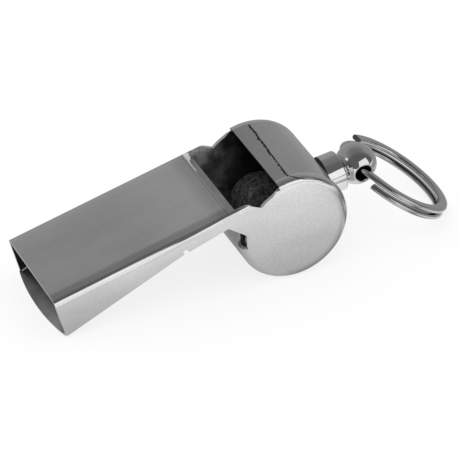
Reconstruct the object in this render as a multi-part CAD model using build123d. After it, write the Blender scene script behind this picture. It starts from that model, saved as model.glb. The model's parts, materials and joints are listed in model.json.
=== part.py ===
from build123d import *
import math
import os

# Pea whistle of folded and soldered sheet metal, with a swivel and a split ring. Millimetres.
# The pieces are drawn in the frame of the mouthpiece's top plate: x runs from the mouth to the
# barrel, y across, and z = 0 is the plate's outer face. At the end the whole is set on the table.

# Sheet metal
sheet = 0.6
width = 19.2
bend_radius = 0.9
overrun = 2.0

# Mouthpiece and throat
mouth_height = 7.4
floor_length = 22.1
floor_bow = 1.0
floor_corner_radius = 0.8
plate_overhang = 1.0
throat_gap = 0.9
throat_start_height = 3.15
throat_length = 7.05
throat_end_height = 2.5
throat_round = 0.5
notch_offset = 0.4
notch_tip_height = 2.4

# Air slit and window
ramp_lap = 1.6
ramp_overhang = 2.35
ramp_thickness = 0.5
slit_height = 0.75
ramp_side_gap = 0.05
hump_overhang = 3.95
hump_round = 3.2
hump_round_share = 0.6
dip_back = 4.0
dip_depth = 1.92
dip_round = 0.3

# Barrel
barrel_radius = 9.36
barrel_set_back = 1.09
barrel_rise = 0.71
rim_round = 1.2
rim_width = 1.6
lip_angle = 94.0
seam_angle = 78.5
rim_end_angle = 176.0
relief_angle = 158.4
relief_depth = 0.86
throat_meet_angle = 155.6

# Stem and swivel
stem_angle = -5.7
stem_radius = 3.3
stem_reach = 2.94
stem_edge_round = 0.25
stem_wall = 1.5
seat_radius = 2.0
seat_depth = 0.75
swivel_turn = 4.7
stem_cavity_radius = 2.25
shank_radius = 1.2
running_clearance = 0.05
washer_radius = 2.05
washer_thickness = 0.35
head_radius = 1.9
head_thickness = 0.55
ball_radius = 3.4
ball_stand_off = 2.95
ball_hole_radius = 1.38
ball_hole_round = 0.25

# Split ring
ring_outer_radius = 10.0
wire_width = 1.75
wire_height = 0.85
wire_round = 0.3
layer_gap = 0.42
wire_seat_gap = 0.1
jog_angle = 38.0
near_end_angle = 34.0
far_end_angle = 66.0
table_clearance = 0.03
hang_step = 1e-6

# Pea
pea_radius = 5.3
pea_clearance = 0.2
pea_side_gap = 0.3

# Places along the plate that follow one another from the floor's end to the barrel
throat_start = floor_length + throat_gap
throat_end = throat_start + throat_length
notch_tip = floor_length + notch_offset
plate_length = throat_end + plate_overhang
ramp_start = floor_length - ramp_lap
ramp_end = throat_end + ramp_overhang
hump_end = throat_end + hump_overhang
barrel_x = throat_end + barrel_set_back + barrel_radius
barrel_drop = barrel_radius - barrel_rise
dip_x = barrel_x - dip_back
relief_radius = barrel_radius - relief_depth

# Heights along the stem, counted from the barrel's axis
stem_end = barrel_radius + stem_reach
stem_wall_end = stem_end - stem_wall
ball_centre = stem_end + ball_stand_off
washer_top = stem_wall_end - running_clearance
washer_bottom = washer_top - washer_thickness
head_top = washer_bottom - running_clearance
head_bottom = head_top - head_thickness


def on_barrel(radius, angle):
    """Point of the side view on a circle about the barrel's axis."""
    turn = math.radians(angle)
    return (barrel_x + radius * math.cos(turn), -barrel_drop + radius * math.sin(turn))


def across(sketch, span):
    """Solid of a side view, centred on the middle plane."""
    return extrude(Plane.XZ * sketch, amount=span / 2, both=True)


def ring_sector(outer, inner, start, end):
    """Side view of a curved strip about the barrel's axis, angles rising from start to end."""
    centre = (barrel_x, -barrel_drop)
    outer_arc = CenterArc(centre, outer, start, end - start)
    inner_arc = CenterArc(centre, inner, start, end - start)
    end_line = Line(outer_arc @ 1, inner_arc @ 1)
    start_line = Line(inner_arc @ 0, outer_arc @ 0)
    return make_face([outer_arc, end_line, inner_arc, start_line])


def round_corner(sketch, corner, radius):
    """Rounds the sketch's corner nearest to a point."""
    nearest = sketch.vertices().sort_by_distance(Vector(corner[0], corner[1], 0))[0]
    return fillet(nearest, radius)


# Slope of the mouthpiece floor, and lines that several pieces share
floor_slope = (mouth_height - throat_start_height) / floor_length
floor_angle = math.degrees(math.atan(floor_slope))
floor_rise = sheet / math.cos(math.radians(floor_angle))
throat_slope = (throat_start_height - throat_end_height) / (throat_end - throat_start)
throat_rise = sheet * math.hypot(1, throat_slope)
inner_width = width - 2 * sheet
band_width = width - 2 * rim_width
throat_corner = (throat_end, -throat_end_height)


def throat_inner_corner():
    """Inner corner of the strap where it turns from the throat down to the barrel."""
    foot = on_barrel(barrel_radius, throat_meet_angle)
    along = Vector(1, throat_slope).normalized()
    down = Vector(foot[0] - throat_corner[0], foot[1] - throat_corner[1]).normalized()
    along_normal = Vector(-along.Y, along.X)
    down_normal = Vector(-down.Y, down.X)
    mitre = (along_normal + down_normal) * (sheet / (1 + along_normal.dot(down_normal)))
    return (throat_corner[0] + mitre.X, throat_corner[1] + mitre.Y)


def floor_top(x):
    """Height of the mouthpiece floor's upper face."""
    return floor_slope * x - mouth_height + floor_rise


def throat_top(x):
    """Height of the throat strip's upper face."""
    return throat_slope * (x - throat_start) - throat_start_height + throat_rise


def cheek_view():
    """Side view of a cheek, without its rolled rim."""
    rim_foot = on_barrel(barrel_radius - sheet, lip_angle)
    throat_foot = on_barrel(relief_radius, relief_angle)
    hump = (hump_end, 0)
    dip = (dip_x, -dip_depth)
    # The hump's rounding takes no more than its share of the slope down to the dip
    slope_length = math.hypot(dip_x - hump_end, dip_depth)
    slope_angle = math.atan2(dip_depth, dip_x - hump_end)
    hump_limit = hump_round_share * slope_length / math.tan(slope_angle / 2)
    outline = [
        (0, 0),
        hump,
        dip,
        rim_foot,
        (barrel_x, -barrel_drop),
        throat_foot,
        throat_corner,
        (throat_start, -throat_start_height),
        (notch_tip, -notch_tip_height),
        (floor_length, floor_top(floor_length)),
        (0, floor_top(0)),
    ]
    view = make_face(Polyline(*outline, close=True))
    view = round_corner(view, hump, min(hump_round, hump_limit))
    view = round_corner(view, dip, dip_round)
    view = round_corner(view, throat_corner, throat_round)
    flat_radius = barrel_radius - rim_round
    view += Pos(barrel_x, -barrel_drop) * Circle(flat_radius)
    return view + ring_sector(relief_radius, flat_radius - sheet, relief_angle, rim_end_angle)


def rolled_rim():
    """Edge of one cheek, rolled over to the barrel's radius from the lip round the back to the relief."""
    half = width / 2
    bend = half - rim_round
    tuck = half - sheet
    edge = half - rim_width
    flat_radius = barrel_radius - rim_round
    inner_radius = barrel_radius - sheet
    section = make_face([
        TangentArc((flat_radius, half), (barrel_radius, bend), tangent=(1, 0)),
        Polyline((barrel_radius, bend), (barrel_radius, edge), (inner_radius, edge), (inner_radius, bend)),
        TangentArc((inner_radius, bend), (flat_radius, tuck), tangent=(0, 1)),
        Line((flat_radius, tuck), (flat_radius, half)),
    ])
    rim = revolve(section, Axis.Y, lip_angle + 360 - rim_end_angle)
    return Pos(barrel_x, 0, -barrel_drop) * Rot(0, -lip_angle, 0) * rim


def body_shell():
    """Top plate and both cheeks, folded from one sheet, with the rolled rims of the barrel."""
    depth = barrel_drop + barrel_radius
    length = barrel_x + barrel_radius
    outside = Pos(0, -depth / 2) * Rectangle(width, depth)
    outside = fillet(outside.vertices().group_by(Axis.Y)[-1], bend_radius)
    inside = Pos(0, -depth / 2 - sheet) * Rectangle(inner_width, depth)
    inside = fillet(inside.vertices().group_by(Axis.Y)[-1], bend_radius - sheet)
    channel = extrude(Plane.YZ * (outside - inside), amount=length)
    shell = channel & across(cheek_view(), width + overrun)
    window = Pos(plate_length, 0, overrun) * Box(
        length, inner_width, depth + overrun, align=(Align.MIN, Align.CENTER, Align.MAX)
    )
    shell -= window
    rim = rolled_rim()
    return shell + rim + mirror(rim, Plane.XZ)


def mouthpiece_floor():
    """Sloping sheet under the mouthpiece, with a bowed front edge."""
    half = width / 2
    slope_length = floor_length / math.cos(math.radians(floor_angle))
    front = ThreePointArc((0, -half), (-floor_bow, 0), (0, half))
    rear = Polyline((0, half), (slope_length, half), (slope_length, -half), (0, -half))
    plan = make_face([front, rear])
    plan = fillet(plan.vertices().group_by(Axis.X)[0], floor_corner_radius)
    turn = math.radians(floor_angle)
    base = Plane((0, 0, -mouth_height), x_dir=(math.cos(turn), 0, math.sin(turn)),
                 z_dir=(-math.sin(turn), 0, math.cos(turn)))
    return extrude(base * plan, amount=sheet)


def air_ramp():
    """Sheet that laps over the joint of floor and throat and ends under the top plate's edge."""
    end_top = -sheet - slit_height
    seat = [
        (ramp_start, floor_top(ramp_start)),
        (floor_length, floor_top(floor_length)),
        (throat_start, throat_top(throat_start)),
        throat_inner_corner(),
        (ramp_end, end_top - ramp_thickness),
    ]
    upper = [(x, z + ramp_thickness) for x, z in reversed(seat)]
    return across(make_face(Polyline(*seat, *upper, close=True)), inner_width - 2 * ramp_side_gap)


def lip_plate():
    """Strip across the rear edge of the window, between the two rims."""
    return across(ring_sector(barrel_radius, barrel_radius - sheet, seam_angle, lip_angle), band_width)


def barrel_band():
    """Strap from the seam behind the lip round the barrel, then up the throat and under it."""
    inner_radius = barrel_radius - sheet
    drum = ring_sector(barrel_radius, inner_radius, throat_meet_angle - 360, seam_angle)
    strip = make_face(Polyline(
        (throat_start, -throat_start_height),
        throat_corner,
        on_barrel(barrel_radius, throat_meet_angle),
        on_barrel(inner_radius, throat_meet_angle),
        throat_inner_corner(),
        (throat_start, throat_top(throat_start)),
        close=True,
    ))
    strip = round_corner(strip, throat_corner, throat_round)
    return across(drum, band_width) + across(strip, inner_width)


# The stem's axis, with local z running out from the barrel's axis and local x across
stem_turn = math.radians(stem_angle)
stem_axis = Plane(
    (barrel_x, 0, -barrel_drop),
    x_dir=(0, 1, 0),
    z_dir=(math.cos(stem_turn), 0, math.sin(stem_turn)),
)
swivel_axis = Plane(stem_axis.location * Rot(0, 0, swivel_turn))
upright = (Align.CENTER, Align.CENTER, Align.MIN)
hanging = (Align.CENTER, Align.CENTER, Align.MAX)


def disc(radius, start, end):
    """Cylinder along local z between two heights."""
    return Pos(0, 0, start) * Cylinder(radius, end - start, align=upright)


def stem_cup():
    """Turned cup on the back of the barrel, bored for the swivel's shank."""
    cup = disc(stem_radius, 0, stem_end)
    cup = fillet(cup.edges().group_by(Axis.Z)[-1], stem_edge_round)
    cup -= disc(stem_cavity_radius, 0, stem_wall_end)
    bore_radius = shank_radius + running_clearance
    cup -= disc(bore_radius, 0, stem_end + overrun)
    cup -= Pos(0, 0, stem_end) * Cone(bore_radius, seat_radius, seat_depth, align=hanging)
    cup -= Rot(0, 90, 0) * Cylinder(barrel_radius, width)
    return stem_axis * cup


def swivel_ball():
    """Cross-drilled ball with its shank and riveted head, in one turned piece."""
    waste = Rectangle(2 * ball_radius + overrun, 2 * (ball_radius + ball_hole_radius))
    section = Circle(ball_radius) - Pos(0, -ball_radius) * waste
    section = fillet(section.vertices(), ball_hole_round)
    ball = Pos(0, 0, ball_centre) * revolve(section, Axis.X)
    shank = disc(shank_radius, head_bottom, ball_centre - ball_hole_radius - ball_hole_round)
    return swivel_axis * (ball + shank + disc(head_radius, head_bottom, head_top))


def swivel_washer():
    """Washer between the riveted head and the end wall of the stem."""
    washer = disc(washer_radius, washer_bottom, washer_top)
    return swivel_axis * (washer - disc(shank_radius + running_clearance, head_bottom, stem_end))


# Resting pose: the bowed front edge of the floor and the barrel's bottom touch the table
floor_turn = math.radians(floor_angle)
tip_to_barrel = barrel_x + floor_bow * math.cos(floor_turn)
tip_above_barrel = mouth_height + floor_bow * math.sin(floor_turn) - barrel_drop
tip_distance = math.hypot(tip_to_barrel, tip_above_barrel)
tilt = math.degrees(math.asin(barrel_radius / tip_distance) - math.atan2(tip_above_barrel, tip_to_barrel))

# The ring hangs from the ball's cross hole, its wire against the hole's inner side
wire_radius = ring_outer_radius - wire_width / 2
layer_pitch = wire_height + layer_gap
jog_reach = math.hypot(wire_radius, layer_pitch / 2)
ring_centre = jog_reach + wire_width / 2 - ball_hole_radius + wire_seat_gap
ring_half_height = (layer_pitch + wire_height) / 2
stem_rise = math.radians(stem_angle + tilt)
ball_height = barrel_radius + ball_centre * math.sin(stem_rise)


def ring_lowest(hang):
    """Height of the ring's lowest point above the table, for an angle between ring and stem."""
    turn = math.radians(hang)
    upward = math.cos(math.radians(swivel_turn)) * math.cos(stem_rise)
    reach_rise = math.cos(turn) * math.sin(stem_rise) - math.sin(turn) * upward
    normal_rise = math.cos(turn) * upward + math.sin(turn) * math.sin(stem_rise)
    edge_drop = ring_outer_radius * math.sqrt(1 - normal_rise**2) + ring_half_height * normal_rise
    return ball_height + ring_centre * reach_rise - edge_drop


def resting_hang():
    """Angle between ring and stem at which the ring's far edge lies on the table."""
    low, high = 0, 90
    while high - low > hang_step:
        middle = (low + high) / 2
        if ring_lowest(middle) > table_clearance:
            low = middle
        else:
            high = middle
    return low


hang = resting_hang()


def wire_point(angle, height):
    """Point on the wire's centre line, with the angle counted from the ball's side of the ring."""
    turn = math.radians(angle)
    return Vector(ring_centre - wire_radius * math.cos(turn), wire_radius * math.sin(turn), height)


def wire_arc(start, end, height):
    """Arc of one flat layer."""
    return ThreePointArc(
        wire_point(start, height), wire_point((start + end) / 2, height), wire_point(end, height)
    )


def wire_path():
    """Centre line of the ring's wire: upper layer, jog through the ball's hole, lower layer."""
    upper = layer_pitch / 2
    lower = -layer_pitch / 2
    upper_end = 360 - jog_angle
    lower_end = 360 - near_end_angle
    jog_turn = math.radians(jog_angle)
    middle = Vector(ring_centre - jog_reach, 0, 0)
    first_jog = TangentArc(
        wire_point(-jog_angle, upper), middle, tangent=(-math.sin(jog_turn), math.cos(jog_turn), 0)
    )
    second_jog = TangentArc(middle, wire_point(jog_angle, lower), tangent=first_jog % 1)
    return Wire([
        wire_arc(far_end_angle, (far_end_angle + upper_end) / 2, upper),
        wire_arc((far_end_angle + upper_end) / 2, upper_end, upper),
        first_jog,
        second_jog,
        wire_arc(jog_angle, (jog_angle + lower_end) / 2, lower),
        wire_arc((jog_angle + lower_end) / 2, lower_end, lower),
    ])


def print_wire_gap(path):
    """Prints the least gap between the ring's two turns, measured on points of the wire's outline."""
    stations = 120
    half_width = wire_width / 2
    half_height = wire_height / 2
    rings = []
    for i in range(stations + 1):
        point = path @ (i / stations)
        out = Vector(point.X - ring_centre, point.Y, 0).normalized()
        rings.append([
            point + out * (half_width * across_share) + Vector(0, 0, half_height * up_share)
            for across_share in (-1, 0, 1)
            for up_share in (-1, 1)
        ])
    third = stations // 3
    least = min(
        (a - b).length
        for i, first in enumerate(rings)
        for second in rings[i + third:]
        for a in first
        for b in second
    )
    print(f"split ring, least gap between its turns: {least:.2f} mm")


def split_ring():
    """Key ring of two flat turns, whose crossing lies in the ball's hole."""
    path = wire_path()
    print_wire_gap(path)
    start = path @ 0
    outwards = Vector(start.X - ring_centre, start.Y, 0)
    section = RectangleRounded(wire_width, wire_height, wire_round)
    ring = sweep(Plane(start, x_dir=outwards, z_dir=path % 0) * section, path=path)
    turn = math.radians(hang)
    hinge = Plane(
        (0, 0, ball_centre),
        x_dir=(0, -math.sin(turn), math.cos(turn)),
        z_dir=(0, math.cos(turn), math.sin(turn)),
    )
    return swivel_axis.location * hinge.location * ring


def pea():
    """Loose ball at the bottom of the chamber."""
    orbit = barrel_radius - sheet - pea_clearance - pea_radius
    pea_shift = inner_width / 2 - pea_side_gap - pea_radius
    lean = math.radians(tilt)
    place = Pos(barrel_x - orbit * math.sin(lean), pea_shift, -barrel_drop - orbit * math.cos(lean))
    return place * Sphere(pea_radius)


nodes = {
    "body_shell": body_shell(),
    "mouthpiece_floor": mouthpiece_floor(),
    "air_ramp": air_ramp(),
    "lip_plate": lip_plate(),
    "barrel_band": barrel_band(),
    "stem_cup": stem_cup(),
    "swivel_ball": swivel_ball(),
    "swivel_washer": swivel_washer(),
    "split_ring": split_ring(),
    "pea": pea(),
}

# Set on the table, with the origin under the middle of the whole
on_table = Rot(0, -tilt, 0)
standing = {name: on_table * solid for name, solid in nodes.items()}
boxes = [solid.bounding_box() for solid in standing.values()]
low_x = min(box.min.X for box in boxes)
high_x = max(box.max.X for box in boxes)
low_y = min(box.min.Y for box in boxes)
high_y = max(box.max.Y for box in boxes)
barrel_middle = (on_table * Pos(barrel_x, 0, -barrel_drop)).position
shift = Pos(-(low_x + high_x) / 2, -(low_y + high_y) / 2, barrel_radius - barrel_middle.Z)

os.makedirs("parts", exist_ok=True)
for name, solid in standing.items():
    export_step(shift * solid, f"parts/{name}.step")

# Places that a drawing of the whole would name
whole = shift * on_table
barrel_place = (whole * Pos(barrel_x, 0, -barrel_drop)).position
swivel_frame = Plane(whole * swivel_axis.location)
ball_place = swivel_frame.from_local_coords(Vector(0, 0, ball_centre))
print(f"tilt of the top plate {tilt:.3f} deg, ring to stem {hang:.3f} deg, shift {shift.position}")
print("barrel axis through", barrel_place, "ball centre", ball_place)
print("stem axis", swivel_frame.z_dir, "ring hinge axis", swivel_frame.x_dir)
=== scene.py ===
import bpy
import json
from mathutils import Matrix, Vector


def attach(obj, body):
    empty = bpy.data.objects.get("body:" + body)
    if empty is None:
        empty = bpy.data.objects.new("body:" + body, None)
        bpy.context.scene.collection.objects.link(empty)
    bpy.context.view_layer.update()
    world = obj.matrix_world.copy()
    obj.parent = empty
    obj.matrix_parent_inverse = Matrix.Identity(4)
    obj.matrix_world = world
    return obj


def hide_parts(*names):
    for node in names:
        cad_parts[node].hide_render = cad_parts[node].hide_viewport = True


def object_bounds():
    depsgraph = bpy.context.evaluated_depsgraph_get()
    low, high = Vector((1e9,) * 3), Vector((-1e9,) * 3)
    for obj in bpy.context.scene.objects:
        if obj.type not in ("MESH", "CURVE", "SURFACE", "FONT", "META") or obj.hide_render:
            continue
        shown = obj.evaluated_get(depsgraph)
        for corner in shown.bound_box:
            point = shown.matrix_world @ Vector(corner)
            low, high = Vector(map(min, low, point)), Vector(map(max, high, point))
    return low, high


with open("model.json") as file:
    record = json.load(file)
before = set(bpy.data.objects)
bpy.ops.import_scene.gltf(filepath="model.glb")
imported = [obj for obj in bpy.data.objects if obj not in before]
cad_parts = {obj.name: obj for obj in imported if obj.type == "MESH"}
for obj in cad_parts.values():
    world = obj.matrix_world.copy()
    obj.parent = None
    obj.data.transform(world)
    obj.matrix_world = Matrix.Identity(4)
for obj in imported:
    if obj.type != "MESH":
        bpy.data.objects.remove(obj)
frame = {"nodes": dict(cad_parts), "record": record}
cadBox = [list(corner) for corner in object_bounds()]

import json
import math

import bmesh
import bpy
from mathutils import Matrix, Vector, noise

mm = 0.001
toMm = 1000
fullTurn = 360
bodyOf = {
    node: body for body, nodes in frame["record"]["behaviour"]["bodies"].items() for node in nodes
}


# a node socket, so that sums on sockets are written as plain expressions
class Socket:
    def __init__(self, tree, socket=None):
        self.tree = tree
        self.socket = socket

    def node(self, kind, settings=None, sockets=None, out=0):
        made = self.tree.nodes.new(kind)
        for key, value in (settings or {}).items():
            if key == "stops":
                ramp = made.color_ramp
                while len(ramp.elements) < len(value):
                    ramp.elements.new(0.5)
                for element, (place, tone) in zip(ramp.elements, value):
                    element.position = place
                    element.color = grey(tone)
            else:
                setattr(made, key, value)
        for key, value in (sockets or {}).items():
            if isinstance(value, Socket):
                self.tree.links.new(value.socket, made.inputs[key])
            else:
                made.inputs[key].default_value = value
        return Socket(self.tree, made.outputs[out] if len(made.outputs) else None)

    def maths(self, operation, first, second=0.0):
        return self.node("ShaderNodeMath", {"operation": operation}, {0: first, 1: second})

    def __add__(self, other):
        return self.maths("ADD", self, other)

    def __radd__(self, other):
        return self.maths("ADD", other, self)

    def __sub__(self, other):
        return self.maths("SUBTRACT", self, other)

    def __rsub__(self, other):
        return self.maths("SUBTRACT", other, self)

    def __mul__(self, other):
        return self.maths("MULTIPLY", self, other)

    def __rmul__(self, other):
        return self.maths("MULTIPLY", other, self)

    def __truediv__(self, other):
        return self.maths("DIVIDE", self, other)

    def __rtruediv__(self, other):
        return self.maths("DIVIDE", other, self)

    def size(self):
        return self.maths("ABSOLUTE", self)

    def atLeast(self, other):
        return self.maths("MAXIMUM", self, other)

    def atMost(self, other):
        return self.maths("MINIMUM", self, other)

    def step(self, low, high, start=0.0, end=1.0):
        return self.node(
            "ShaderNodeMapRange", {"interpolation_type": "SMOOTHSTEP"},
            {0: self, 1: low, 2: high, 3: start, 4: end},
        )

    def mix(self, first, second):
        # this socket is the factor between two colours
        return self.node("ShaderNodeMix", {"data_type": "RGBA"}, {0: self, 6: first, 7: second}, out=2)

    def paint(self):
        # this socket as a grey colour
        return self.node("ShaderNodeCombineColor", None, {0: self, 1: self, 2: self})

    def parts(self):
        # this vector's x, y and z
        split = self.node("ShaderNodeSeparateXYZ", None, {0: self}).socket.node
        return [Socket(self.tree, output) for output in split.outputs]

    def vector(self, operation, other=None, out=1):
        sockets = {0: self} if other is None else {0: self, 1: other}
        return self.node("ShaderNodeVectorMath", {"operation": operation}, sockets, out)

    def noise(self, scale, detail, **more):
        # noise over this vector
        sockets = {"Vector": self, "Scale": scale, "Detail": detail, **more}
        return self.node("ShaderNodeTexNoise", None, sockets)


def grey(level):
    return (level, level, level, 1)


def blankMaterial(name):
    # an empty material, its shader, and the Object coordinates that its patterns read
    material = bpy.data.materials.new(name)
    material.use_nodes = True
    material.node_tree.nodes.clear()
    shader = Socket(material.node_tree)
    return material, shader, shader.node("ShaderNodeTexCoord", out=3)


def closeMaterial(material, shader, colour, metal, rough, height, depth):
    bump = shader.node("ShaderNodeBump", None, {"Strength": 1.0, "Distance": depth, "Height": height})
    look = {"Base Color": colour, "Metallic": metal, "Roughness": rough, "Normal": bump}
    principled = shader.node("ShaderNodeBsdfPrincipled", None, look)
    shader.node("ShaderNodeOutputMaterial", None, {"Surface": principled})
    return material


def newObject(name, data):
    made = bpy.data.objects.new(name, data)
    bpy.context.scene.collection.objects.link(made)
    return made


def newMesh(name, bm):
    mesh = bpy.data.meshes.new(name)
    bm.to_mesh(mesh)
    bm.free()
    return mesh


cameraSet = {
    "place": (-216.0394, -480.1977, 370.368),
    "right": (0.91086, -0.41264, -0.00836),
    "up": (0.24173, 0.51695, 0.82118),
    "forward": (0.33453, 0.74999, -0.57061),
    "lens": 314.912,
    "sensor": 36.0,
    "clip": (0.02, 20),
}


def makeCamera():
    data = bpy.data.cameras.new("photoCamera")
    data.lens = cameraSet["lens"]
    data.sensor_width = cameraSet["sensor"]
    data.clip_start, data.clip_end = cameraSet["clip"]
    camera = newObject("photoCamera", data)
    columns = [Vector(cameraSet["right"]), Vector(cameraSet["up"]), -Vector(cameraSet["forward"])]
    turn = Matrix([column.normalized() for column in columns]).transposed()
    camera.matrix_world = Matrix.Translation(Vector(cameraSet["place"]) * mm) @ turn.to_4x4()
    bpy.context.scene.camera = camera


roomSet = {
    "diffuse": 0.95,                 # plain light from all round
    "backStops": [(0.0, 0.35), (0.20, 0.34), (0.42, 0.33), (0.65, 0.315), (0.80, 0.23), (1.0, 0.19)],
    "backFrom": (-0.3, 0.15),
    "frontTone": 0.13,
    "windowAhead": (0.02, 0.06),     # a window shows only in the half of the room that it is in
    "softWindow": {"bearing": 155.0, "half": 0.58, "low": 0.07, "high": 0.90, "blur": 0.02, "level": 1.05},
    "sideWindow": {"bearing": -86.0, "half": 0.16, "low": 0.60, "high": 0.86, "blur": 0.03, "level": 1.1},
}
lampSet = {"place": (-0.35, -0.30, 0.80), "size": 0.7, "power": 1.5}
floorSet = {
    "half": 6, "cells": 8,
    "tone": 0.97,
    "lift": 0.8,                     # share of plain white in what the camera sees of the floor
    "gleam": 0.65,                   # share of plain tone in what metal mirrors of it
    "lit": 0.95,                     # tones that metal mirrors: lit, shaded and far behind
    "shade": 0.51,
    "far": 0.36,
    "fade": (0.009, 0.042),
    "side": (0.0175, 0.028),
    "ahead": (0.02, 0.06),
    "rear": (0.012, 0.055),
    # painted pools of light on the floor, seen only in metal
    "paintedLightSpots": [                       # light patches under stem and ring: place, full and end
        ((0.0215, -0.011, 0), 0.002, 0.004),
        ((0.0226, -0.0165, 0), 0.002, 0.004),
        ((0.0195, 0.000, 0), 0.003, 0.006),
        ((0.0202, -0.006, 0), 0.002, 0.004),
        ((0.0350, 0.003, 0), 0.005, 0.010),
        ((0.0335, -0.007, 0), 0.003, 0.006),
        ((0.0350, -0.015, 0), 0.004, 0.008),
    ],
}


def bearing(degrees):
    # level directions towards a bearing, counted from +Y to +X, and to its right
    turn = math.radians(degrees)
    return (math.sin(turn), math.cos(turn), 0), (math.cos(turn), -math.sin(turn), 0)


def windowMask(way, look):
    # 1 where a direction meets an upright window, 0 elsewhere
    ahead, right = bearing(look["bearing"])
    depth = way.vector("DOT_PRODUCT", ahead)
    far = depth.atLeast(roomSet["windowAhead"][0])
    across = (way.vector("DOT_PRODUCT", right) / far).size()
    above = way.parts()[2] / far
    blur = look["blur"]
    return (
        depth.step(*roomSet["windowAhead"])
        * (1 - across.step(look["half"] - blur, look["half"] + blur))
        * above.step(look["low"] - blur, look["low"] + blur)
        * (1 - above.step(look["high"] - blur, look["high"] + blur))
    )


def makeRoom():
    # white to the camera, plain light on dull surfaces, and a grey room with two windows in metal
    scene = bpy.context.scene
    scene.view_settings.view_transform = "Standard"
    scene.world = bpy.data.worlds.new("studio")
    scene.world.use_nodes = True
    scene.world.node_tree.nodes.clear()
    shader = Socket(scene.world.node_tree)
    way = shader.node("ShaderNodeTexCoord")
    ahead, height = way.parts()[1:]
    behind = shader.node("ShaderNodeValToRGB", {"stops": roomSet["backStops"]}, {0: height})
    room = ahead.step(*roomSet["backFrom"]).mix(grey(roomSet["frontTone"]), behind)
    for look in (roomSet["softWindow"], roomSet["sideWindow"]):
        room = windowMask(way, look).mix(room, grey(look["level"]))
    seen = shader.node("ShaderNodeLightPath")
    mirrored = shader.node("ShaderNodeLightPath", out=3)
    colour = seen.mix(mirrored.mix(grey(roomSet["diffuse"]), room), grey(1.0))
    light = shader.node("ShaderNodeBackground", None, {0: colour})
    shader.node("ShaderNodeOutputWorld", None, {"Surface": light})


def makeLamp():
    data = bpy.data.lights.new("softbox", "AREA")
    data.shape = "DISK"
    data.size = lampSet["size"]
    data.energy = lampSet["power"]
    lamp = newObject("softbox", data)
    place = Vector(lampSet["place"])
    lamp.matrix_world = Matrix.Translation(place) @ place.to_track_quat("Z", "Y").to_matrix().to_4x4()
    lamp.visible_glossy = False


def makeFloor():
    bm = bmesh.new()
    cells = floorSet["cells"]
    bmesh.ops.create_grid(bm, x_segments=cells, y_segments=cells, size=floorSet["half"])
    floor = newObject("paperFloor", newMesh("paperFloor", bm))
    material, shader, place = blankMaterial("whitePaper")
    seen = shader.node("ShaderNodeLightPath")
    side, behind = place.parts()[:2]
    before = behind * -1
    # what metal mirrors of the floor is painted light and shade: lit ahead and in the spots, shaded under
    # the whistle, darker far behind and to the right
    right = side.step(*floorSet["side"]) * (1 - before.step(*floorSet["ahead"]))
    lit = before.step(*floorSet["fade"]) * (1 - right)
    for spot, full, end in floorSet["paintedLightSpots"]:
        lit = lit.atLeast(1 - place.vector("DISTANCE", spot).step(full, end))
    rear = behind.step(*floorSet["rear"]).atLeast(right)
    shade = rear.mix(grey(floorSet["shade"]), grey(floorSet["far"]))
    mirrored = lit.mix(shade, grey(floorSet["lit"]))
    tone = seen.mix(mirrored, grey(floorSet["tone"]))
    paper = shader.node("ShaderNodeBsdfDiffuse", None, {"Color": tone})
    glare = seen.mix(mirrored, grey(1.0))
    bright = shader.node("ShaderNodeEmission", None, {"Color": glare, "Strength": 1.0})
    share = seen * (floorSet["lift"] - floorSet["gleam"]) + floorSet["gleam"]
    both = shader.node("ShaderNodeMixShader", None, {0: share, 1: paper, 2: bright})
    shader.node("ShaderNodeOutputMaterial", None, {"Surface": both})
    floor.data.materials.append(material)


makeCamera()
makeRoom()
makeLamp()
makeFloor()
print("camera, light and floor made")


# the whistle's own frame: along the top plate from the mouth, across it and above it, in millimetres
whistleFrame = {"tilt": 14.502, "shift": (-36.130276, -0.463354, 7.592974)}
barrel = {"axis": (5.24544, 9.36), "radius": 9.36, "middle": -0.463354}


def platePlace(place):
    # a place as three sockets in that frame
    turn = math.radians(whistleFrame["tilt"])
    x, y, z = [part * toMm - shift for part, shift in zip(place.parts(), whistleFrame["shift"])]
    return x * math.cos(turn) + z * math.sin(turn), y, z * math.cos(turn) - x * math.sin(turn)


nickelGrain = {
    "cloudDetail": 4.0, "cloudRough": 0.55, "brushDetail": 3.0, "dentDetail": 1.0,
    "grain": 2300.0, "grainDetail": 2.0, "grainRough": 0.7,
    "speck": 3100.0, "speckDetail": 1.0, "speckFrom": (0.70, 0.80), "speckTone": 0.08, "speckRough": 0.03,
    "roughCloud": 0.6, "roughBrush": 0.7, "roughMiddle": 0.65,
}
sheetFinish = {
    "tone": 0.80, "toneSwing": 0.12, "grain": 0.08, "rough": 0.085, "roughSwing": 0.06, "metal": 1.0,
    "cloud": (75.0, 230.0, 230.0), "brush": (90.0, 4200.0, 900.0), "brushDepth": 0.0000008,
    "dent": 330.0, "dentDepth": 0.000006, "tilt": whistleFrame["tilt"],
}
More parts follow.
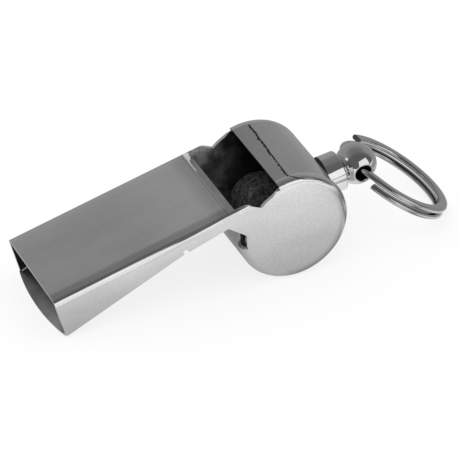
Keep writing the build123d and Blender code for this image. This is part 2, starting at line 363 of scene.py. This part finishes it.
# places along, across and above the plate; the last of three numbers is a strength
plateFinish = dict(
    sheetFinish,
    crown=(7.3, 8.75, 0.11),
    shoulder=(-1.3, -0.3, 0.22), shoulderNarrow=(14.0, 33.0, 1.0), shoulderEnd=(28.0, 32.6),
    lean=(-6.5, -1.4, 0.0085), leanEnd=(12.0, 32.6),
    worn=(14.0, 26.0, 0.13), wornFar=(3.0, 8.5, 0.5), wornTop=(-0.6, -0.2),
    stain=(27.5, 30.4, 0.20), stainEnd=(32.0, 33.0), stainTop=(-1.2, -0.3), stainCloud=(0.4, 1.2),
    # a painted shade line across the plate just before its end edge
    endShadeLine=(30.63, 30.71, 0.35), endShadeLineEnd=(30.77, 30.85), endShadeLineTop=(-0.3, -0.1),
)
# the discs and rims; rimShadeBand paints shade on the rolled rim behind and below
rimFinish = dict(
    sheetFinish, rough=0.19, grain=0.16, rimShadeBand=(7.3, 9.0, 0.5), rimSide=(1.0, 6.0), rimTurn=-30.0
)
bandFinish = {
    "tone": 0.66, "toneSwing": 0.12, "grain": 0.10, "rough": 0.09, "roughSwing": 0.06, "metal": 1.0,
    "cloud": (300.0, 120.0, 300.0), "brush": (300.0, 5200.0, 300.0), "brushDepth": 0.0000006,
    # throat paints shade on the strap under the throat
    "dent": 420.0, "dentDepth": 0.000005, "tilt": 0.0, "throat": (32.0, 35.5, 0.36),
}
lipFinish = dict(bandFinish, tone=0.55, rough=0.14)
turnedFinish = {
    "tone": 0.79, "toneSwing": 0.05, "grain": 0.02, "rough": 0.05, "roughSwing": 0.04, "metal": 1.0,
    "cloud": (500.0, 500.0, 500.0), "brush": (2600.0, 300.0, 300.0), "brushDepth": 0.0000006,
    "dent": 500.0, "dentDepth": 0.000003, "tilt": 0.0,
}
ballFinish = dict(turnedFinish, tone=0.70)
# the ramp's strip beyond the plate's end: mottled, and darker than the plate as painted shade under it
rampMottleAndShade = {
    "tone": 0.50, "toneSwing": 0.30, "grain": 0.10, "rough": 0.26, "roughSwing": 0.16, "metal": 1.0,
    "cloud": (900.0, 420.0, 900.0), "brush": (900.0, 900.0, 900.0), "brushDepth": 0.000002,
    "dent": 900.0, "dentDepth": 0.000012, "tilt": whistleFrame["tilt"],
}
solderFinish = {
    "tone": 0.72, "toneSwing": 0.20, "grain": 0.08, "rough": 0.24, "roughSwing": 0.12, "metal": 0.4,
    "cloud": (1500.0, 1500.0, 1500.0), "brush": (1500.0, 1500.0, 1500.0), "brushDepth": 0.000002,
    "dent": 1600.0, "dentDepth": 0.000025, "tilt": 0.0,
}


def plateMarks(place, look, cloud, share, height):
    # what is special to the top plate and the cheeks below it
    x, y, z = platePlace(place)
    # the plate falls off towards its folded edges
    start, end, depth = look["crown"]
    fall = (y.size().atMost(end) - start).atLeast(0.0)
    height = height - fall * fall * (depth * mm)
    # below the fold the cheek leans in a little, less so towards the barrel
    low, high, slope = look["shoulder"]
    near, away, narrow = look["shoulderNarrow"]
    low = low + narrow * x.step(near, away)
    ahead = 1 - x.step(*look["shoulderEnd"])
    height = height - z.step(low, high) * (high - low) * ahead * (slope * mm)
    low, high, slope = look["lean"]
    rise = (z.atMost(high) - low).atLeast(0.0)
    height = height - rise * rise * (1 - x.step(*look["leanEnd"])) * (slope * mm)
    # the plate is duller where it is held, towards the mouth and away from the far edge
    start, end, dull = look["worn"]
    near, away, spared = look["wornFar"]
    held = (1 - x.step(start, end)) * (1 - spared * y.step(near, away)) * z.step(*look["wornTop"])
    share = share * (1 - dull * held)
    # the heat of soldering stained its end; a painted shade line runs across the plate just before its end
    # edge
    start, end, stain = look["stain"]
    base, swing = look["stainCloud"]
    burnt = x.step(start, end) * z.step(*look["stainTop"]) * (1 - x.step(*look["stainEnd"]))
    share = share * (1 - stain * burnt * (base + swing * cloud))
    # painted shade: a dark line just before the plate's end edge, where the slit below lies in shadow
    start, end, dark = look["endShadeLine"]
    endShadeLine = x.step(start, end) * (1 - x.step(*look["endShadeLineEnd"])) * z.step(*look["endShadeLineTop"])
    return share * (1 - dark * endShadeLine), height


def rimShade(place, look):
    # painted shade: the rolled rim is darker behind and below
    across, above = [part * toMm - axis for part, axis in zip(place.parts()[::2], barrel["axis"])]
    turn = math.radians(look["rimTurn"])
    behind = (across * math.cos(turn) + above * math.sin(turn)).step(*look["rimSide"])
    start, end, dull = look["rimShadeBand"]
    away = place.maths("SQRT", across * across + above * above).step(start, end)
    return 1 - dull * away * behind


def nickelFinish(name, look):
    # plated metal: soft clouds, fine grain, brush lines and shallow waviness
    material, shader, place = blankMaterial(name)
    fine = nickelGrain
    turned = {"Vector": place, "Rotation": (0, math.radians(look["tilt"]), 0)}
    along = shader.node("ShaderNodeMapping", None, {**turned, "Scale": look["brush"]})
    wide = shader.node("ShaderNodeMapping", None, {**turned, "Scale": look["cloud"]})
    cloud = wide.noise(1.0, fine["cloudDetail"], Roughness=fine["cloudRough"])
    brush = along.noise(1.0, fine["brushDetail"])
    grain = place.noise(fine["grain"], fine["grainDetail"], Roughness=fine["grainRough"])
    speck = place.noise(fine["speck"], fine["speckDetail"]).step(*fine["speckFrom"])
    dent = place.noise(look["dent"], fine["dentDetail"])
    share = 1 + look["toneSwing"] * (cloud - 0.5) * 2 + look["grain"] * (grain - 0.5) * 2
    share = share - fine["speckTone"] * speck
    height = dent * look["dentDepth"] + brush * look["brushDepth"]
    if "crown" in look:
        share, height = plateMarks(place, look, cloud, share, height)
    if "throat" in look:
        # painted shade: the strap is darker under the throat, towards the mouthpiece
        start, end, stain = look["throat"]
        share = share * (1 - stain * (1 - platePlace(place)[0].step(start, end)))
    # painted shade on the rolled rim
    if "rimShadeBand" in look:
        share = share * rimShade(place, look)
    swing = cloud * fine["roughCloud"] + brush * fine["roughBrush"] - fine["roughMiddle"]
    rough = look["rough"] + look["roughSwing"] * swing + fine["speckRough"] * speck
    colour = (look["tone"] * share).paint()
    # the height is in metres already
    return closeMaterial(material, shader, colour, look["metal"], rough, height, 1.0)


insideTarnishShadeLook = {
    "tone": 0.16, "rough": 0.45, "roughPatch": 0.25, "roughFine": 0.1, "metal": 0.6,
    "patch": 380.0, "patchDetail": 6.0, "patchRough": 0.6, "patchFrom": (0.36, 0.68),
    "fine": 3200.0, "fineDetail": 2.0, "fineTone": 0.2, "bump": 0.000012, "bumpFine": 0.3,
    "blotch": (0.30, 1.15),
    # lit is painted light under the window; deep, mouth and far are painted shade
    "lit": 1.3, "litFrom": (29.0, 31.5), "litTo": (33.0, 37.5), "litTop": (-2.2, -0.8, 2.5),
    "deep": (36.0, 41.0, 0.75), "mouth": (3.0, 14.0, 0.75), "far": (-7.0, 5.0, 0.0),
}
# the mouthpiece floor's upper face: darker than the plate, blotchy tarnish with painted shade towards the
# far side
mouthTarnishShadeLook = dict(
    insideTarnishShadeLook, tone=0.50, patch=170.0, blotch=(0.70, 0.45), rough=0.34, metal=0.9,
    lit=0.0, mouth=(3.0, 14.0, 0.0), far=(-7.0, 5.0, 0.5),
)
# the inside of the ball's cross hole: near black, painted shade
holeShadeLook = dict(insideTarnishShadeLook, tone=0.03, lit=0.0)


def tarnishAndShadeFinish(name, look):
    # unpolished side of the sheet, browned and blotchy tarnish, dark overall partly as painted shade, with
    # painted light under the window and painted shade deep inside, towards the mouth and at the far side
    material, shader, place = blankMaterial(name)
    x, y, z = platePlace(place)
    patch = place.noise(look["patch"], look["patchDetail"], Roughness=look["patchRough"])
    fine = place.noise(look["fine"], look["fineDetail"])
    # painted light under the window, painted shade deep inside, towards the mouth and at the far side
    low, high, gain = look["litTop"]
    window = x.step(*look["litFrom"]) * (1 - x.step(*look["litTo"]))
    lit = 1 + look["lit"] * window * (1 + gain * z.step(low, high))
    start, end, shade = look["deep"]
    deep = 1 - shade * x.step(start, end)
    start, end, shade = look["mouth"]
    front = 1 - shade * (1 - x.step(start, end))
    start, end, shade = look["far"]
    far = 1 - shade * y.step(start, end)
    base, swing = look["blotch"]
    tone = look["tone"] * (base + swing * patch.step(*look["patchFrom"]) + look["fineTone"] * fine)
    colour = (tone * lit * deep * front * far).paint()
    rough = look["rough"] + look["roughPatch"] * (patch - 0.5) + look["roughFine"] * (fine - 0.5)
    height = patch + fine * look["bumpFine"]
    return closeMaterial(material, shader, colour, look["metal"], rough, height, look["bump"])


wireFinish = {
    "tone": 0.54, "toneBase": 0.94, "toneCloud": 0.08, "toneLines": 0.06, "metal": 1.0,
    "rough": 0.06, "roughCloud": 0.10, "roughLines": 0.12, "bump": 0.000003,
    "lines": (0.25, 46.0), "linesDetail": 3.0, "cloud": 700.0, "cloudDetail": 3.0,
    # turnGapShade: painted shade between the two turns
    "turnGapShade": (0.22, 0.60, 0.85), "inner": (8.7, 9.3),
    "eye": (27.462, 0.034, 6.683), "axle": (0.5758, -0.0590, 0.8154),
}


def drawnWireFinish(name, look):
    # drawn wire: fine lines that follow the coil
    material, shader, place = blankMaterial(name)
    along = shader.node("ShaderNodeAttribute", {"attribute_name": "alongWire"}, out=2)
    across = shader.node("ShaderNodeAttribute", {"attribute_name": "roundWire"}, out=2)
    coarse, close = look["lines"]
    track = shader.node("ShaderNodeCombineXYZ", None, {0: along * coarse, 1: across * close})
    lines = track.noise(1.0, look["linesDetail"])
    cloud = place.noise(look["cloud"], look["cloudDetail"])
    # painted shade between the two turns, inside the ring
    arm = place.vector("SUBTRACT", Vector(look["eye"]) * mm, out=0)
    start, end, gapShadeDepth = look["turnGapShade"]
    turnGapShade = 1 - (arm.vector("DOT_PRODUCT", look["axle"]) * toMm).size().step(start, end)
    turnGapShade = turnGapShade * (1 - (arm.vector("LENGTH") * toMm).step(*look["inner"]))
    tone = look["tone"] * (look["toneBase"] + look["toneCloud"] * cloud + look["toneLines"] * lines)
    colour = (tone * (1 - gapShadeDepth * turnGapShade)).paint()
    rough = look["rough"] + look["roughCloud"] * (cloud - 0.5) + look["roughLines"] * (lines - 0.5)
    return closeMaterial(material, shader, colour, look["metal"], rough, lines, look["bump"])


corkFinish = {
    "dark": (0.006, 0.006, 0.006, 1), "light": (0.115, 0.114, 0.113, 1), "metal": 0.0,
    "upright": (1.0, 1.0, 0.28),
    "streak": 1500.0, "streakDetail": 5.0, "streakRough": 0.65, "streakBend": 0.8,
    "streakFrom": (0.40, 0.68), "grain": 1400.0,
    "pore": 2600.0, "poreDetail": 2.0, "poreFrom": (0.58, 0.66),
    "streakTone": 0.8, "grainTone": 0.2, "poreTone": 0.75, "rough": 0.62, "roughStreak": 0.2,
    "bump": 0.00008, "streakHeight": 0.6, "grainHeight": 0.4, "poreDepth": 0.5,
}


def corkSkin(name, look):
    # dark cork: upright streaks, granules and pores
    material, shader, place = blankMaterial(name)
    upright = shader.node("ShaderNodeMapping", None, {"Vector": place, "Scale": look["upright"]})
    bend = {"Roughness": look["streakRough"], "Distortion": look["streakBend"]}
    streak = upright.noise(look["streak"], look["streakDetail"], **bend)
    grain = shader.node("ShaderNodeTexVoronoi", None, {"Vector": place, "Scale": look["grain"]})
    pores = upright.noise(look["pore"], look["poreDetail"]).step(*look["poreFrom"])
    shade = streak.step(*look["streakFrom"]) * look["streakTone"] + grain * look["grainTone"]
    colour = (shade * (1 - look["poreTone"] * pores)).mix(look["dark"], look["light"])
    rough = look["rough"] + look["roughStreak"] * streak
    height = streak * look["streakHeight"] + grain * look["grainHeight"] - pores * look["poreDepth"]
    return closeMaterial(material, shader, colour, look["metal"], rough, height, look["bump"])


fluxFinish = {
    "dark": (0.004, 0.004, 0.004, 1), "light": (0.03, 0.03, 0.03, 1), "metal": 0.0,
    "crumb": 5200.0, "crumbDetail": 3.0, "crumbFrom": (0.4, 0.75),
    "rough": 0.5, "roughCrumb": 0.3, "bump": 0.00002,
}


def fluxSkin(name, look):
    # dark residue in the soldered joint
    material, shader, place = blankMaterial(name)
    crumb = place.noise(look["crumb"], look["crumbDetail"])
    colour = crumb.step(*look["crumbFrom"]).mix(look["dark"], look["light"])
    rough = look["rough"] + look["roughCrumb"] * crumb
    return closeMaterial(material, shader, colour, look["metal"], rough, crumb, look["bump"])


plateNickel = nickelFinish("plateNickel", plateFinish)
rimNickel = nickelFinish("rimNickel", rimFinish)
bandNickel = nickelFinish("bandNickel", bandFinish)
lipNickel = nickelFinish("lipNickel", lipFinish)
turnedNickel = nickelFinish("turnedNickel", turnedFinish)
ballNickel = nickelFinish("ballNickel", ballFinish)
rampShadedNickel = nickelFinish("rampShadedNickel", rampMottleAndShade)
brightSolder = nickelFinish("brightSolder", solderFinish)
insideTarnishAndShade = tarnishAndShadeFinish("insideTarnishAndShade", insideTarnishShadeLook)
mouthTarnishAndShade = tarnishAndShadeFinish("mouthTarnishAndShade", mouthTarnishShadeLook)
holePaintedShade = tarnishAndShadeFinish("holePaintedShade", holeShadeLook)
drawnSteel = drawnWireFinish("drawnSteel", wireFinish)
darkCork = corkSkin("darkCork", corkFinish)
darkFlux = fluxSkin("darkFlux", fluxFinish)
print("finishes made")


def toPlate(point):
    turn = math.radians(whistleFrame["tilt"])
    x, y, z = [value / mm - shift for value, shift in zip(point, whistleFrame["shift"])]
    return x * math.cos(turn) + z * math.sin(turn), y, z * math.cos(turn) - x * math.sin(turn)


def fromPlate(x, y, z):
    turn = math.radians(whistleFrame["tilt"])
    shift = whistleFrame["shift"]
    return Vector((
        x * math.cos(turn) - z * math.sin(turn) + shift[0],
        y + shift[1],
        x * math.sin(turn) + z * math.cos(turn) + shift[2],
    )) * mm


def fromBarrel(point):
    # the arm from the barrel's axis to a point, in millimetres
    return Vector((point.x / mm - barrel["axis"][0], 0, point.z / mm - barrel["axis"][1]))


def plainMesh(carrier):
    # what the carrier's modifiers make of it, as a mesh with nothing live
    graph = bpy.context.evaluated_depsgraph_get()
    made = bpy.data.meshes.new_from_object(
        carrier.evaluated_get(graph), preserve_all_data_layers=True, depsgraph=graph
    )
    carrier.modifiers.clear()
    made.name = carrier.name
    carrier.data = made


def shadeRound(bm, angle):
    # smooth faces, crisp along the edges that bend more than the angle
    for edge in bm.edges:
        edge.smooth = len(edge.link_faces) == 2 and edge.calc_face_angle(0) < math.radians(angle)
    for face in bm.faces:
        face.smooth = True


skinSet = {"merge": 0.001, "sliver": 0.0005, "cut": 0.0001, "sharp": 24.0, "weight": 50}


def smoothSkin(node, name, materials, inside=None, cut=None):
    # a merged copy of a CAD node, shaded round its bends and crisp at its cut edges
    bm = bmesh.new()
    bm.from_mesh(frame["nodes"][node].data)
    bmesh.ops.remove_doubles(bm, verts=bm.verts, dist=skinSet["merge"] * mm)
    bmesh.ops.dissolve_degenerate(bm, dist=skinSet["sliver"] * mm, edges=bm.edges)
    if cut:
        whole = bm.verts[:] + bm.edges[:] + bm.faces[:]
        bmesh.ops.bisect_plane(bm, geom=whole, dist=skinSet["cut"] * mm, plane_co=cut[0], plane_no=cut[1])
    shadeRound(bm, skinSet["sharp"])
    for face in bm.faces:
        face.material_index = inside(face.calc_center_median(), face.normal) if inside else 0
    skin = newObject(name, newMesh(name, bm))
    for material in materials:
        skin.data.materials.append(material)
    weigh = skin.modifiers.new("evenShade", "WEIGHTED_NORMAL")
    weigh.keep_sharp = True
    weigh.weight = skinSet["weight"]
    plainMesh(skin)
    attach(skin, bodyOf[node])
    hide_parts(node)
    print(name, len(skin.data.polygons), "faces")


# limits between the finishes of a piece, in millimetres or as shares of a unit normal
shellZones = {"split": 32.8, "inner": 9.03, "under": -0.55, "past": 31.1, "rim": 0.3, "outward": 0.2}
floorZones = {"upward": 0.5}
bandZones = {"inner": barrel["radius"] - 0.5}
shellCut = (fromPlate(shellZones["split"], 0, 0), fromPlate(1, 0, 0) - fromPlate(0, 0, 0))


def shellInside(centre, normal):
    # 0 on the mouthpiece, 1 on the unpolished side, 2 on the barrel's discs and rims
    x, y, z = toPlate(centre)
    out = fromBarrel(centre)
    nearRim = abs(out.length - barrel["radius"]) < shellZones["rim"]
    onRim = nearRim and out.dot(normal) > shellZones["outward"] * out.length
    within = abs(y) < shellZones["inner"] and (z < shellZones["under"] or x > shellZones["past"])
    if within and not onRim:
        return 1
    return 2 if x > shellZones["split"] else 0


def floorInside(centre, normal):
    return normal.z > floorZones["upward"]


def bandInside(centre, normal):
    return fromBarrel(centre).length < bandZones["inner"]


def rampInside(centre, normal):
    return normal.z < 0


# stem and swivel, in millimetres
swivelLine = {"start": (5.24544, -0.463354, 9.36), "way": (0.988224, 0, 0.153012), "foot": 0.02}
crossHole = {
    "pin": (20.3159, -0.463354, 11.6934), "way": (-0.012538, 0.996637, 0.080974),
    "radius": 1.38, "play": 0.06,
}
stemWay = Vector(swivelLine["way"])
stemFoot = (Vector(swivelLine["start"]) + stemWay * (barrel["radius"] + swivelLine["foot"])) * mm


def stemFootShade(centre, normal):
    # the stem below its flat foot gets the dark flux finish: a dark joint and painted shade in the wedge
    # between the foot and the round barrel
    return (centre - stemFoot).dot(stemWay) < 0


def inHole(centre, normal):
    arm = centre / mm - Vector(crossHole["pin"])
    return arm.cross(Vector(crossHole["way"])).length < crossHole["radius"] + crossHole["play"]


smoothSkin("body_shell", "foldedShell", [plateNickel, insideTarnishAndShade, rimNickel], shellInside, shellCut)
smoothSkin("mouthpiece_floor", "mouthFloor", [plateNickel, mouthTarnishAndShade], floorInside)
smoothSkin("air_ramp", "slitRamp", [rampShadedNickel, insideTarnishAndShade], rampInside)
smoothSkin("lip_plate", "lipStrip", [lipNickel, insideTarnishAndShade], bandInside)
smoothSkin("barrel_band", "barrelStrap", [bandNickel, insideTarnishAndShade], bandInside)
smoothSkin("stem_cup", "stemCup", [turnedNickel, darkFlux], stemFootShade, (stemFoot, stemWay))
smoothSkin("swivel_ball", "swivelBall", [ballNickel, holePaintedShade], inHole)
smoothSkin("swivel_washer", "shankWasher", [turnedNickel])


def nodeTree(name, values):
    # a Geometry Nodes tree with one named input for each value
    tree = bpy.data.node_groups.new(name, "GeometryNodeTree")
    tree.interface.new_socket("Geometry", in_out="OUTPUT", socket_type="NodeSocketGeometry")
    tree.interface.new_socket("Path", in_out="INPUT", socket_type="NodeSocketGeometry")
    for key, value in values.items():
        kind = "NodeSocketInt" if isinstance(value, int) else "NodeSocketFloat"
        tree.interface.new_socket(key, in_out="INPUT", socket_type=kind)
    geo = Socket(tree)
    entry = geo.node("NodeGroupInput").socket.node
    return tree, geo, {key: Socket(tree, entry.outputs[key]) for key in ("Path", *values)}


def closeTree(geo, path, outline, material, bend=None):
    # sweeps the outline along the path, moves what comes out, and ends the tree
    swept = {"Curve": path, "Profile Curve": outline, "Fill Caps": True}
    form = geo.node("GeometryNodeCurveToMesh", None, swept)
    if bend is not None:
        form = geo.node("GeometryNodeSetPosition", None, {"Geometry": form, "Offset": bend})
    form = geo.node("GeometryNodeRealizeInstances", None, {"Geometry": form})
    form = geo.node("GeometryNodeSetMaterial", None, {"Geometry": form, "Material": material})
    geo.node("NodeGroupOutput", None, {"Geometry": form})


def runTree(tree, values, name, path=()):
    mesh = bpy.data.meshes.new(name)
    mesh.from_pydata(path, [(i, i + 1) for i in range(len(path) - 1)], [])
    carrier = newObject(name, mesh)
    modifier = carrier.modifiers.new(name, "NODES")
    modifier.node_group = tree
    for item in tree.interface.items_tree:
        if item.in_out == "INPUT" and item.name in values:
            modifier[item.identifier] = values[item.name]
    plainMesh(carrier)
    return carrier


trimSet = {"merge": 0.0005, "ringSharp": 50.0, "solderSharp": 60.0}


def sharpen(mesh, angle):
    bm = bmesh.new()
    bm.from_mesh(mesh)
    bmesh.ops.remove_doubles(bm, verts=bm.verts, dist=trimSet["merge"] * mm)
    bmesh.ops.recalc_face_normals(bm, faces=bm.faces)
    shadeRound(bm, angle)
    bm.to_mesh(mesh)
    bm.free()


ringCoil = {
    "Coil Radius": 9.125, "Coil Centre": 8.74207, "Half Pitch": 0.635, "Jog Angle": 38.0,
    "Far End": 66.0, "Near End": 34.0, "Wire Width": 1.75, "Wire Height": 0.85, "Corner": 0.4,
    "Corner Points": 6, "Points": 620,
}
ringPlace = {"outward": (0.817466, 0.056852, -0.573163)}


def ringTree():
    # two turns of flat wire, with the jog from one to the other opposite the ends
    tree, geo, size = nodeTree("ringCoil", ringCoil)
    keep = {"data_type": "FLOAT", "domain": "POINT"}
    share = geo.node("GeometryNodeInputIndex") / (size["Points"] - 1)
    angle = size["Far End"] + share * (2 * fullTurn - size["Near End"] - size["Far End"])
    turn = angle * (math.pi / 180)
    jog = size["Jog Angle"]
    drop = angle.step(fullTurn - jog, fullTurn + jog, size["Half Pitch"], size["Half Pitch"] * -1)
    spot = geo.node(
        "ShaderNodeCombineXYZ", None,
        {0: size["Coil Centre"] - size["Coil Radius"] * geo.maths("COSINE", turn),
         1: size["Coil Radius"] * geo.maths("SINE", turn), 2: drop},
    )
    line = geo.node("GeometryNodeMeshLine", {"mode": "OFFSET"}, {"Count": size["Points"]})
    placed = geo.node("GeometryNodeSetPosition", None, {"Geometry": line, "Position": spot})
    path = geo.node("GeometryNodeMeshToCurve", None, {0: placed})
    path = geo.node("GeometryNodeSetCurveNormal", {"mode": "Z_UP"}, {0: path})
    path = geo.node(
        "GeometryNodeStoreNamedAttribute", keep,
        {"Geometry": path, "Name": "alongWire", "Value": turn * size["Coil Radius"]},
    )
    outline = geo.node(
        "GeometryNodeCurvePrimitiveQuadrilateral", None,
        {"Width": size["Wire Width"], "Height": size["Wire Height"]},
    )
    outline = geo.node(
        "GeometryNodeFilletCurve", {"mode": "POLY"},
        {"Curve": outline, "Count": size["Corner Points"], "Radius": size["Corner"]},
    )
    outline = geo.node(
        "GeometryNodeStoreNamedAttribute", keep,
        {"Geometry": outline, "Name": "roundWire", "Value": geo.node("GeometryNodeSplineParameter")},
    )
    closeTree(geo, path, outline, drawnSteel)
    return tree


def makeRing():
    ring = runTree(ringTree(), ringCoil, "splitRing")
    outward = Vector(ringPlace["outward"]).normalized()
    hinge = Vector(crossHole["way"])
    hinge = (hinge - outward * hinge.dot(outward)).normalized()
    axes = Matrix([outward, hinge, outward.cross(hinge)]).transposed().to_4x4()
    ring.data.transform(Matrix.Translation(Vector(crossHole["pin"]) * mm) @ axes @ Matrix.Scale(mm, 4))
    sharpen(ring.data, trimSet["ringSharp"])
    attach(ring, "ring")
    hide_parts("split_ring")
    print("split ring", len(ring.data.polygons), "faces")


makeRing()


seamCrack = {
    "Width": 0.44, "Thickness": 0.03, "Sides": 10, "Step": 0.06, "Seed": 4,
    "Wander": 0.46, "Wander Scale": 1.3, "Wander Detail": 4.0,
    "Ragged": 0.32, "Ragged Scale": 5.0, "Ragged Detail": 2.0,
}
seamTail = dict(seamCrack, Width=0.26, Thickness=0.08, Wander=0.05, Ragged=0.05, Seed=9)
floorBead = dict(seamCrack, Width=0.30, Thickness=0.26, Wander=0.04, Ragged=0.04, Seed=2)


def sideways(geo, size, kind):
    # a shift along x that changes from place to place
    sockets = {
        "Vector": geo.node("GeometryNodeInputPosition"), "W": size["Seed"],
        "Scale": size[kind + " Scale"], "Detail": size[kind + " Detail"],
    }
    wave = geo.node("ShaderNodeTexNoise", {"noise_dimensions": "4D"}, sockets)
    return geo.node("ShaderNodeCombineXYZ", None, {0: (wave - 0.5) * size[kind] * 2})


def solderTree(name, values, material):
    # a flat bead along a line, wandering and ragged at its edges
    tree, geo, size = nodeTree(name, values)
    line = geo.node("GeometryNodeMeshToCurve", None, {0: size["Path"]})
    steps = {"Curve": line, "Length": size["Step"]}
    line = geo.node("GeometryNodeResampleCurve", {"mode": "LENGTH"}, steps)
    bent = {"Geometry": line, "Offset": sideways(geo, size, "Wander")}
    line = geo.node("GeometryNodeSetPosition", None, bent)
    line = geo.node("GeometryNodeSetCurveNormal", {"mode": "Z_UP"}, {0: line})
    unit = {"Resolution": size["Sides"], "Radius": 0.5}
    outline = geo.node("GeometryNodeCurvePrimitiveCircle", None, unit)
    flat = geo.node("ShaderNodeCombineXYZ", None, {0: size["Width"], 1: size["Thickness"], 2: 1.0})
    outline = geo.node("GeometryNodeTransform", None, {"Geometry": outline, "Scale": flat})
    closeTree(geo, line, outline, material, sideways(geo, size, "Ragged"))
    return tree


def makeBead(name, values, material, path):
    # the path is in millimetres, the bead in metres
    bead = runTree(solderTree(name, values, material), values, name, path)
    bead.data.transform(Matrix.Scale(mm, 4))
    for vertex in bead.data.vertices:
        vertex.co.z = min(vertex.co.z, cadBox[1][2])    # nothing stands above the barrel
    sharpen(bead.data, trimSet["solderSharp"])
    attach(bead, "whistle")
    print(name, len(bead.data.polygons), "faces")


rimRound = {"start": 8.4, "radius": 1.2, "most": 1.19}


def onBarrel(angle, y, sunk):
    # a point of the barrel's skin, its angle counted from the plate's line
    over = min(max(0.0, abs(y) - rimRound["start"]), rimRound["most"])
    drop = rimRound["radius"] - math.sqrt(rimRound["radius"] ** 2 - over ** 2)
    radius = barrel["radius"] - drop - sunk
    turn = math.radians(angle + whistleFrame["tilt"])
    return (
        barrel["axis"][0] + radius * math.cos(turn),
        barrel["middle"] + y,
        barrel["axis"][1] + radius * math.sin(turn),
    )


# angles round the barrel and places across it, and how deep the bead's middle lies
seamPath = {"angle": 76.7, "turn": 3.2, "from": 7.8, "reach": 16.0, "steps": 24, "sunk": 0.011}
tailPath = {
    "stops": [
        (79.7, -8.1), (75.5, -8.7), (72.7, -9.0), (68.7, -9.2),
        (64.8, -9.3), (58.0, -9.33), (50.0, -9.33), (45.0, -9.3),
    ],
    "sunk": 0.008,
}
# the mouthpiece floor's top line below the plate, and the cheeks' inner sides
beadPath = {"stops": (0.2, 5.0, 10.0, 15.0, 20.0), "slope": 4.25 / 22.1, "start": -6.79, "side": 8.95}


def makeSeams():
    path = seamPath
    across = []
    for i in range(path["steps"] + 1):
        angle = path["angle"] + path["turn"] * i / path["steps"]
        across.append(onBarrel(angle, path["from"] - path["reach"] * i / path["steps"], path["sunk"]))
    makeBead("barrelSeam", seamCrack, darkFlux, across)
    tail = [onBarrel(angle, y, tailPath["sunk"]) for angle, y in tailPath["stops"]]
    makeBead("seamTail", seamTail, darkFlux, tail)
    floorTop = [(x, beadPath["slope"] * x + beadPath["start"]) for x in beadPath["stops"]]
    for name, side in (("farBead", beadPath["side"]), ("nearBead", -beadPath["side"])):
        makeBead(name, floorBead, brightSolder, [tuple(fromPlate(x, side, z) / mm) for x, z in floorTop])


makeSeams()


cornerSolder = {
    "x": 31.25, "z": -0.45, "from": 9.02, "to": 4.2, "radius": 0.85, "end": 0.22, "lump": 0.36,
    "taper": 0.7, "swell": 0.18, "wave": (1.3, 1.1, 1.3), "seed": (3.1, 0, 0), "flat": 0.62, "top": 0.4,
    "rings": 60, "sides": 18,
}


def makeCornerSolder():
    # a blob of solder in the window's far corner, drawn out along the plate's end
    look = cornerSolder
    bm = bmesh.new()
    rings = []
    for i in range(look["rings"]):
        share = i / (look["rings"] - 1)
        y = look["from"] + (look["to"] - look["from"]) * share
        lump = math.sqrt(max(0.0, 1 - (share / look["lump"]) ** 2))
        radius = look["end"] * (1 - look["taper"] * share) + (look["radius"] - look["end"]) * lump
        ring = []
        for k in range(look["sides"]):
            turn = 2 * math.pi * k / look["sides"]
            across, above = math.cos(turn), math.sin(turn)
            wave = Vector([a * b for a, b in zip((across, y, above), look["wave"])])
            reach = radius * (1 + look["swell"] * noise.noise(wave + Vector(look["seed"])))
            rise = min(reach * above * look["flat"], look["top"])
            ring.append(bm.verts.new(fromPlate(look["x"] + reach * across, y, look["z"] + rise)))
        rings.append(ring)
    for a, b in zip(rings, rings[1:]):
        for k in range(look["sides"]):
            n = (k + 1) % look["sides"]
            bm.faces.new((a[k], a[n], b[n], b[k]))
    bm.faces.new(rings[0])
    bm.faces.new(rings[-1])
    blob = newObject("cornerSolder", newMesh("cornerSolder", bm))
    sharpen(blob.data, trimSet["solderSharp"])
    blob.data.materials.append(brightSolder)
    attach(blob, "whistle")
    print("corner solder", len(blob.data.polygons), "faces")


makeCornerSolder()


pea = {
    "centre": (5.24544, 2.936646, 6.1), "radius": 5.3, "subdivisions": 6, "seed": (7.0, 0.3, 1.7),
    "dent": 0.12, "dentScale": 2.6, "dentFractal": (1.0, 2.0, 4),
    "pore": 0.10, "poreScale": (9, 9, 4), "poreFrom": 0.25,
}


def makePea():
    bm = bmesh.new()
    bmesh.ops.create_icosphere(bm, subdivisions=pea["subdivisions"], radius=1)
    centre = Vector(pea["centre"])
    shift = Vector(pea["seed"])
    for vert in bm.verts:
        way = vert.co.normalized()
        lump = noise.fractal(way * pea["dentScale"] + shift, *pea["dentFractal"])
        fine = Vector([a * b for a, b in zip(way, pea["poreScale"])])
        pore = max(0.0, noise.noise(fine + shift) - pea["poreFrom"])
        depth = pea["dent"] * (0.5 - 0.5 * max(-1, min(1, lump))) + pea["pore"] * pore
        vert.co = (centre + way * (pea["radius"] - depth)) * mm
    for face in bm.faces:
        face.smooth = True
    ball = newObject("corkPea", newMesh("corkPea", bm))
    ball.data.materials.append(darkCork)
    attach(ball, "pea")
    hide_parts("pea")
    print("pea", len(ball.data.polygons), "faces")


makePea()

print("cad box", cadBox)
